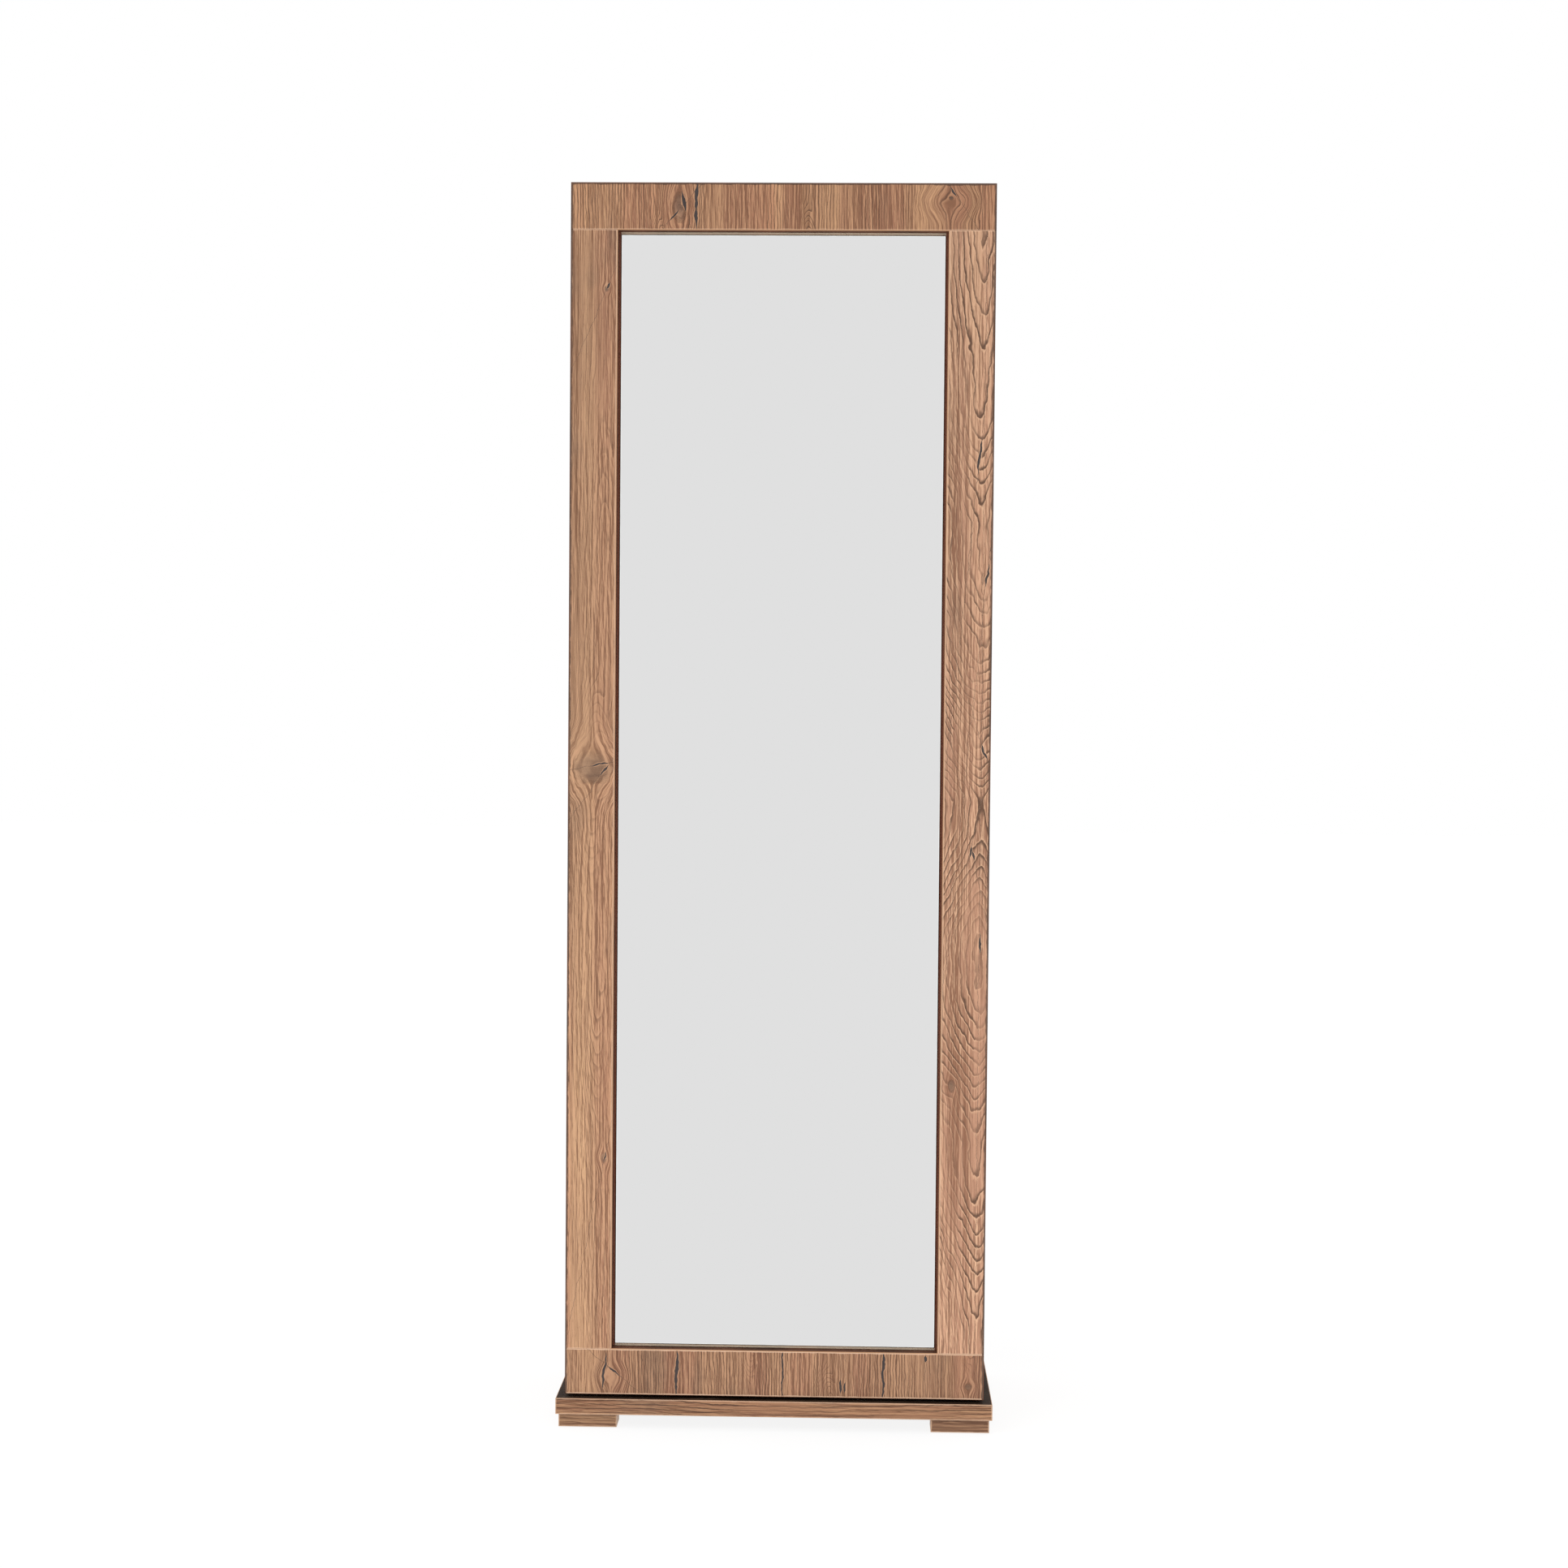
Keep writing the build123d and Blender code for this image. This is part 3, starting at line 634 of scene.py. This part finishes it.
# %% Bottom rail
bottom_rail_wood = timber(
    "timber_bottom_rail", board_centre("bottom_rail"), seed=4.1, relief=1.0, wobble=1.5,
    pitch=0.0040, arris_of="bottom_rail", arris=0.95, outline_of="frame_outer_band",
    outline_drop=0.05, tones=shades(0.350, 0.180, 0.106),
    knots=[(-0.228, -0.008, 0.010, 0.009, 0.0), (0.263, -0.014, 0.005, 0.005, 0.7)],
    arches=[(-0.040, 0.0, 0.012, 0.026, 2.5), (0.066, 0.0, 0.013, -0.026, 2.5),
            (0.258, 0.014, 0.010, 0.016, 1.5)],
    cracks=[(-0.236, 0.0, 0.0012, 0.034, 0.1), (-0.222, 0.0, 0.0008, 0.016, -0.9),
            (-0.137, 0.0, 0.0015, 0.045, 0.0), (0.009, 0.0, 0.0009, 0.060, 0.0),
            (0.088, -0.016, 0.0012, 0.012, 0.0), (0.094, -0.018, 0.0010, 0.010, 0.0),
            (0.147, 0.0, 0.0014, 0.050, 0.0), (0.204, 0.024, 0.0012, 0.006, 0.0)],
)
dress(bottom_rail_wood, "bottom_rail")

# %% Left stile
left_stile_wood = timber(
    "timber_left_stile", board_centre("left_stile"), seed=7.7, relief=0.55, wobble=1.0,
    arris_of="left_stile", outline_of="frame_outer_band", drift=(1.20, 0.98),
    tones=shades(0.356, 0.190, 0.112),
    knots=[(0.014, 0.684, 0.0036, 0.004, 1.0), (-0.002, 0.035, 0.026, 0.023, 0.75),
           (0.017, -0.500, 0.005, 0.008, 0.8)],
    arches=[(-0.004, 0.120, 0.022, -0.060, 3.0), (-0.010, -0.090, 0.022, 0.070, 3.0),
            (0.002, -0.38, 0.022, 0.120, 3.5), (0.004, 0.48, 0.020, -0.120, 3.0)],
    cracks=[(0.008, 0.040, 0.0009, 0.016, 1.35), (0.014, 0.031, 0.0008, 0.012, 0.6),
            (0.016, 0.688, 0.0009, 0.006, 0.4), (0.018, -0.497, 0.0009, 0.008, 0.2)],
)
dress(left_stile_wood, "left_stile")

# %% Right stile
right_stile_wood = timber(
    "timber_right_stile", board_centre("right_stile"), seed=5.3, relief=1.2, wobble=1.3,
    arris_of="right_stile", outline_of="frame_outer_band", pitch=0.0078, axis=0.015,
    blunt=0.010, tones=shades(0.545, 0.312, 0.198, 0.95), drift=(1.00, 0.80),
    knots=[(-0.020, -0.395, 0.005, 0.009, 0.8)],
    arches=stretch_cones(
        (0.660, -0.140, 1.5), (0.450, -0.090, 3.5), (0.250, -0.070, 2.0),
        (0.130, -0.080, 4.5), (0.030, -0.040, 2.5), (-0.120, 0.100, 4.0),
        (-0.370, -0.120, 5.0), (-0.620, -0.130, 5.0),
    ),
    cracks=[(0.020, 0.060, 0.0012, 0.014, -0.3), (0.003, -0.075, 0.0012, 0.010, 0.2),
            (0.007, -0.080, 0.0011, 0.008, -0.2), (0.010, 0.46, 0.0012, 0.030, 0.1),
            (0.022, 0.30, 0.0010, 0.020, 0.1), (0.016, -0.20, 0.0010, 0.018, 0.0)],
)
dress(right_stile_wood, "right_stile")

# %% [markdown]
# ## The body and the plinth
#
# Sides, shelves and plinth wear the same decor in larger sheets, the plinth board in near-black
# tones that paint the shade on its top. Their grain runs along the board: upright on the sides and on
# the panel behind the glass, across on every level board.

# %% Side panels
for side, tilt in (("left", 3.3), ("right", 5.9)):
    node = f"side_panel_{side}"
    wood = timber(
        f"timber_{node}", board_centre(node), across="Y", seed=tilt, relief=0.8,
        pitch=0.009, axis=0.015, blunt=0.030,
        knots=[(0.05, 0.42, 0.010, 0.016, 0.7), (-0.06, -0.25, 0.014, 0.02, 0.6)],
        arches=stretch_cones((0.50, 0.25, 4.0), (-0.35, -0.30, 5.0)),
        cracks=[(-0.058, -0.25, 0.0012, 0.018, 0.4), (0.051, 0.42, 0.0010, 0.014, 0.1)],
    )
    dress(wood, node)

# %% Panel behind the glass
backing_wood = timber(
    "timber_backing", board_centre("mirror_backing_panel"), seed=6.4, relief=0.8,
    pitch=0.011, axis=-0.040, blunt=0.040,
    knots=[(0.09, 0.31, 0.012, 0.018, 0.7), (-0.14, -0.38, 0.010, 0.014, 0.7)],
    arches=stretch_cones((0.45, 0.25, 4.0), (-0.35, -0.30, 5.0)),
)
dress(backing_wood, "mirror_backing_panel")

# %% [markdown]
# The groove round the glass lets a strip of this panel show. Above and below the glass the strip
# is painted pale, a painted light that makes it read lit in the shaded groove, and beside the glass
# it is painted dark as a painted shade. The strips are mixed in over the decor, by how far a point
# lies outside the glass. They are kept to the front face of the panel.

# %% Painted light and shade strips in the groove
# painted light above and below the glass, painted shade beside it
LIT_STRIP_PAINTED_LIGHT = (0.98, 0.80, 0.60, 1.0)
DARK_STRIP_PAINTED_SHADE = (0.34, 0.115, 0.062, 1.0)
bench = Bench(backing_wood.node_tree)
shader = backing_wood.node_tree.nodes["Principled BSDF"]
position = bench.add("ShaderNodeTexCoord").outputs["Object"]
from_glass = bench.vector("ABSOLUTE", bench.vector("SUBTRACT", position, glass_centre))
out_x, unused_y, out_z = bench.split(from_glass)
half_glass = board_size("mirror_glass") / 2
beside = bench.ease(out_x, half_glass.x, half_glass.x + 0.0004)
above = bench.ease(out_z, half_glass.z, half_glass.z + 0.0004)
panel_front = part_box("mirror_backing_panel")[0][1]
at_front = bench.ease(bench.split(position)[1], panel_front + 0.001, panel_front + 0.002, 1.0, 0.0)
decor_colour = shader.inputs["Base Color"].links[0].from_socket
# mix in the painted light strip above and below, then the painted shade strip beside the glass
colour = bench.blend(bench.maths("MULTIPLY", above, at_front), decor_colour, LIT_STRIP_PAINTED_LIGHT)
colour = bench.blend(bench.maths("MULTIPLY", beside, at_front), colour, DARK_STRIP_PAINTED_SHADE)
bench.feed(shader.inputs["Base Color"], colour)

# %% Level boards
level_wood = timber(
    "timber_level_boards", board_centre("shelf_4"), grain="X", across="Y", seed=8.2,
    relief=0.5, knots=[(0.03, 0.12, 0.010, 0.016, 0.7)],
    arches=[(0.0, -0.05, 0.040, 0.16, 7.0)],
)
shelves = [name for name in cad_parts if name.startswith("shelf_") and name[-1].isdigit()]
dress(level_wood, "top_panel", "bottom_panel", *sorted(shelves))

# %% Plinth and feet
plinth_tones = shades(0.290, 0.150, 0.082, 1.2)
# the plinth board is coloured near black: painted shade for its dark top beside and under the body
plinth_painted_shade_wood = timber(
    "timber_plinth", board_centre("plinth_board"), grain="X", across="Y", seed=5.5,
    tones=shades(0.040, 0.024, 0.016), relief=0.5, gloss=0.03,
)
dress(plinth_painted_shade_wood, "plinth_board")

foot_tones = shades(0.250, 0.128, 0.072)
feet = sorted(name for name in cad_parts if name.startswith("foot_") and
              name.endswith(("_left", "_right")))
for number, node in enumerate(feet):
    foot_wood = timber(
        f"timber_{node}", board_centre(node), grain="X", across="Z", seed=9.1 + 1.7 * number,
        tones=foot_tones, relief=0.5, pitch=0.004, arris_of=node,
    )
    dress(foot_wood, node)

# %% [markdown]
# The frame's own edges wear a dark band, whose grain follows the edge round the corners:
# adding X and Z gives a coordinate that runs along every side. Round the opening the front
# corner of the band is pale: partly its trimmed core, partly a painted highlight on the arris.

# %% Function: dark band


def dark_band(name, node, pale_front):
    """A dark edge band. Its front corner is pale by the given share: partly trimmed core, partly
    painted highlight.
    """
    material, bench, shader = new_material(name)
    position = bench.add("ShaderNodeTexCoord").outputs["Object"]
    x, y, z = bench.split(position)
    along = bench.maths("ADD", x, z)
    streak = bench.noise(bench.join(bench.maths("MULTIPLY", y, 700.0),
                                    bench.maths("MULTIPLY", along, 7.0), 0.0), detail=1)
    blotch = bench.noise(bench.join(bench.maths("MULTIPLY", y, 40.0),
                                    bench.maths("MULTIPLY", along, 12.0), 0.0), detail=1)
    shade = bench.maths("MULTIPLY_ADD", streak, 0.6, bench.maths("MULTIPLY", blotch, 0.6))
    colour = bench.blend(bench.ease(shade, 0.45, 0.75), UMBER, (0.180, 0.072, 0.040, 1.0))
    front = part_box(node)[0][1]
    # pale front corner: partly the trimmed core, partly a painted highlight
    trim_and_highlight = bench.ease(y, front + 0.0004, front + 0.0012, pale_front, 0.0)
    colour = bench.blend(trim_and_highlight, colour, HONEY_BROWN["pale"])
    bump = bench.add("ShaderNodeBump")
    bump.inputs["Distance"].default_value = EMBOSS_DEPTH
    bump.inputs["Strength"].default_value = 0.5
    bench.feed(bump.inputs["Height"], streak)
    bench.feed(shader.inputs["Base Color"], colour)
    bench.feed(shader.inputs["Roughness"], bench.ease(streak, 0.2, 0.8, 0.65, 0.5))
    bench.feed(shader.inputs["Normal"], bump.outputs["Normal"])
    shader.inputs["Specular IOR Level"].default_value = 0.2
    return material


# %% Edge bands
plinth_band = timber(
    "band_plinth", board_centre("plinth_board"), grain="X", across="Z", seed=9.8,
    tones=plinth_tones, relief=1.0, pitch=0.006, arris_of="plinth_edge_band",
)
outer_band = dark_band("band_frame_outside", "frame_outer_band", pale_front=0.0)
opening_band = dark_band("band_frame_opening", "frame_opening_band", pale_front=0.85)
level_band = timber(
    "band_shelves", board_centre("shelf_4"), grain="X", across="Z", seed=1.9, relief=0.4,
)
body_band = timber(
    "band_body", board_centre("body_edge_bands"), grain="X", across="Z", seed=6.1,
    relief=0.4, upright_beyond=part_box("side_panel_right")[0][0],
)
dress(plinth_band, "plinth_edge_band")
dress(outer_band, "frame_outer_band")
dress(opening_band, "frame_opening_band")
dress(body_band, "body_edge_bands")
dress(level_band, "shelf_edge_bands")

# %% [markdown]
# ## The mirror
#
# Silvered float glass is a metal in nodes, almost perfectly smooth. Its base is a light grey
# and not white, so that the white room in it reads as the even grey of a mirror on show; for
# a mirror in use, 0.9 is nearer. A perfect mirror looks unreal, so a faint film changes the
# roughness. A narrow band at the edge is brighter, a painted highlight on the arris, with a hint of
# green from the iron in the glass.

# %% Mirror
MIRROR_GREY = 0.745
GREEN_EDGE_HIGHLIGHT = (0.90, 0.93, 0.92, 1)
silver, b, shader = new_material("silvered_glass")
position = b.add("ShaderNodeTexCoord").outputs["Object"]
film = b.noise(b.scaled(position, 9, 9, 5), detail=4, roughness=0.65)
low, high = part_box("mirror_glass")
rim = b.group(rim_group, position=position, low=low, high=high, width=0.0018)["Mask"]
# the narrow bright band at the glass's edge is a painted highlight, tinted green
b.feed(shader.inputs["Base Color"], b.blend(rim, grey(MIRROR_GREY), GREEN_EDGE_HIGHLIGHT))
b.feed(shader.inputs["Roughness"], b.ease(film, 0.4, 0.75, 0.012, 0.035))
shader.inputs["Metallic"].default_value = 1.0
dress(silver, "mirror_glass")

# %% [markdown]
# ## Fittings
#
# Screws, bolts and pins are zinc-plated: bright, a little blue, with fine drawn scratches.
# The turntable plates are galvanised sheet, whose zinc freezes in flat crystals. Caps,
# glides and the ball retainer are moulded plastic with a fine grain.


# %% Function: plated steel
def plated(name, colour, crystal_size, roughness):
    """Zinc-coated steel: crystals change its tone and gloss, scratches cross it."""
    material, bench, shader = new_material(name)
    position = bench.add("ShaderNodeTexCoord").outputs["Object"]
    crystals = bench.add("ShaderNodeTexVoronoi")
    bench.feed(crystals.inputs["Vector"], position)
    crystals.inputs["Scale"].default_value = 1 / crystal_size
    spangle = bench.split(crystals.outputs["Color"])[0]
    scratch = bench.noise(bench.scaled(position, 300, 2500, 300), detail=3)
    shade = bench.maths("MULTIPLY_ADD", spangle, 0.25, bench.maths("MULTIPLY", scratch, 0.3))
    dull = tuple(0.55 * part for part in colour[:3]) + (1,)
    bench.feed(shader.inputs["Base Color"], bench.blend(shade, colour, dull))
    bench.feed(shader.inputs["Roughness"], bench.ease(shade, 0.0, 0.5, roughness, roughness + 0.2))
    bump = bench.add("ShaderNodeBump")
    bump.inputs["Distance"].default_value = 0.0001
    bump.inputs["Strength"].default_value = 0.3
    bench.feed(bump.inputs["Height"], scratch)
    bench.feed(shader.inputs["Normal"], bump.outputs["Normal"])
    shader.inputs["Metallic"].default_value = 1.0
    return material


# %% Function: moulded plastic
def moulded(name, colour, roughness):
    """Plastic with the fine spark-eroded grain of its mould."""
    material, bench, shader = new_material(name)
    position = bench.add("ShaderNodeTexCoord").outputs["Object"]
    grain = bench.noise(bench.scaled(position, 2200, 2200, 2200), detail=2)
    cloud = bench.noise(bench.scaled(position, 60, 60, 60), detail=3)
    deeper = tuple(0.72 * part for part in colour[:3]) + (1,)
    bench.feed(shader.inputs["Base Color"], bench.blend(cloud, colour, deeper))
    bench.feed(shader.inputs["Roughness"], bench.ease(grain, 0.3, 0.7, roughness, roughness + 0.15))
    bump = bench.add("ShaderNodeBump")
    bump.inputs["Distance"].default_value = 0.0001
    bump.inputs["Strength"].default_value = 0.35
    bench.feed(bump.inputs["Height"], grain)
    bench.feed(shader.inputs["Normal"], bump.outputs["Normal"])
    return material


# %% Dress the fittings
zinc = plated("zinc_plate", (0.72, 0.73, 0.72, 1), 0.0008, 0.22)
galvanised = plated("galvanised_sheet", (0.60, 0.61, 0.61, 1), 0.009, 0.3)
brown_plastic = moulded("brown_plastic", (0.16, 0.085, 0.05, 1), 0.45)
white_plastic = moulded("white_nylon", (0.75, 0.74, 0.70, 1), 0.4)
foam_tape = moulded("foam_tape", (0.8, 0.8, 0.77, 1), 0.8)
beech = timber("beech", board_centre("panel_dowels"), grain="X", across="Z", relief=0.2,
               tones={"pale": (0.72, 0.54, 0.36, 1), "middle": (0.62, 0.43, 0.27, 1),
                      "dark": (0.5, 0.33, 0.2, 1)})
dress(zinc, "foot_screws", "turntable_base_bolts", "turntable_top_bolts", "panel_screws",
      "frame_screws", "shelf_pins", "bearing_balls", "pivot_bush")
dress(galvanised, "turntable_base_plate", "turntable_top_plate")
dress(brown_plastic, "screw_caps", "foot_glides")
dress(white_plastic, "ball_retainer")
dress(foam_tape, "mirror_tape")
dress(beech, "panel_dowels", "frame_dowels")

# %% [markdown]
# ## Studio
#
# A white room lights the object from all sides, and one large soft lamp from the upper left
# gives the boards a little shape. The floor is painted dark grey, but it glows white by
# itself, so it stays even and nearly white, and only a weak shadow lies round the feet.

# %% Floor
bpy.ops.mesh.primitive_plane_add(size=30.0)
floor = bpy.context.object
floor.name = "studio_floor"
floor.visible_glossy = False  # the glass then shows only the plain white room
floor_paint, b, shader = new_material("studio_floor_paint")
position = b.add("ShaderNodeTexCoord").outputs["Object"]
mottle = b.noise(b.scaled(position, 3, 3, 3), detail=4)
b.feed(shader.inputs["Base Color"], b.blend(mottle, grey(0.15), grey(0.13)))
shader.inputs["Roughness"].default_value = 0.9
shader.inputs["Specular IOR Level"].default_value = 0.0
shader.inputs["Emission Color"].default_value = grey(1.0)
shader.inputs["Emission Strength"].default_value = 0.88
floor.data.materials.append(floor_paint)

# %% Room light
world = bpy.data.worlds.new("white_room")
bpy.context.scene.world = world
world.use_nodes = True
world.node_tree.nodes["Background"].inputs["Color"].default_value = grey(1.0)
world.node_tree.nodes["Background"].inputs["Strength"].default_value = 1.0


def soft_lamp(name, place, aim, size, power):
    """A square softbox that the mirror doesn't show."""
    data = bpy.data.lights.new(name, "AREA")
    data.size = size
    data.energy = power
    lamp = bpy.data.objects.new(name, data)
    lamp.location = place
    lamp.rotation_euler = (Vector(aim) - Vector(place)).to_track_quat("-Z", "Y").to_euler()
    lamp.visible_glossy = False
    bpy.context.scene.collection.objects.link(lamp)
    return lamp


soft_lamp("key_lamp", (-2.2, -3.2, 3.2), glass_centre, 2.0, 45)

# %% [markdown]
# ## Camera
#
# A full-length mirror is shown nearly square on, from about a metre up, a little to its
# right and looking slightly down. From three and a half metres away, the uprights stay
# nearly parallel.

# %% Camera
camera_data = bpy.data.cameras.new("camera")
camera_data.sensor_width = 36.0
camera_data.lens = 59.6
camera = bpy.data.objects.new("camera", camera_data)
stand = Matrix.Translation((0.1043, frame_front - 3.5282, 1.0182))
turned_left = Matrix.Rotation(0.0275, 4, "Z")
tipped_down = Matrix.Rotation(math.pi / 2 - 0.03682, 4, "X")
held_askew = Matrix.Rotation(0.00831, 4, "Z")
camera.matrix_world = stand @ turned_left @ tipped_down @ held_askew
bpy.context.scene.collection.objects.link(camera)
bpy.context.scene.camera = camera
bpy.context.scene.view_settings.view_transform = "Standard"
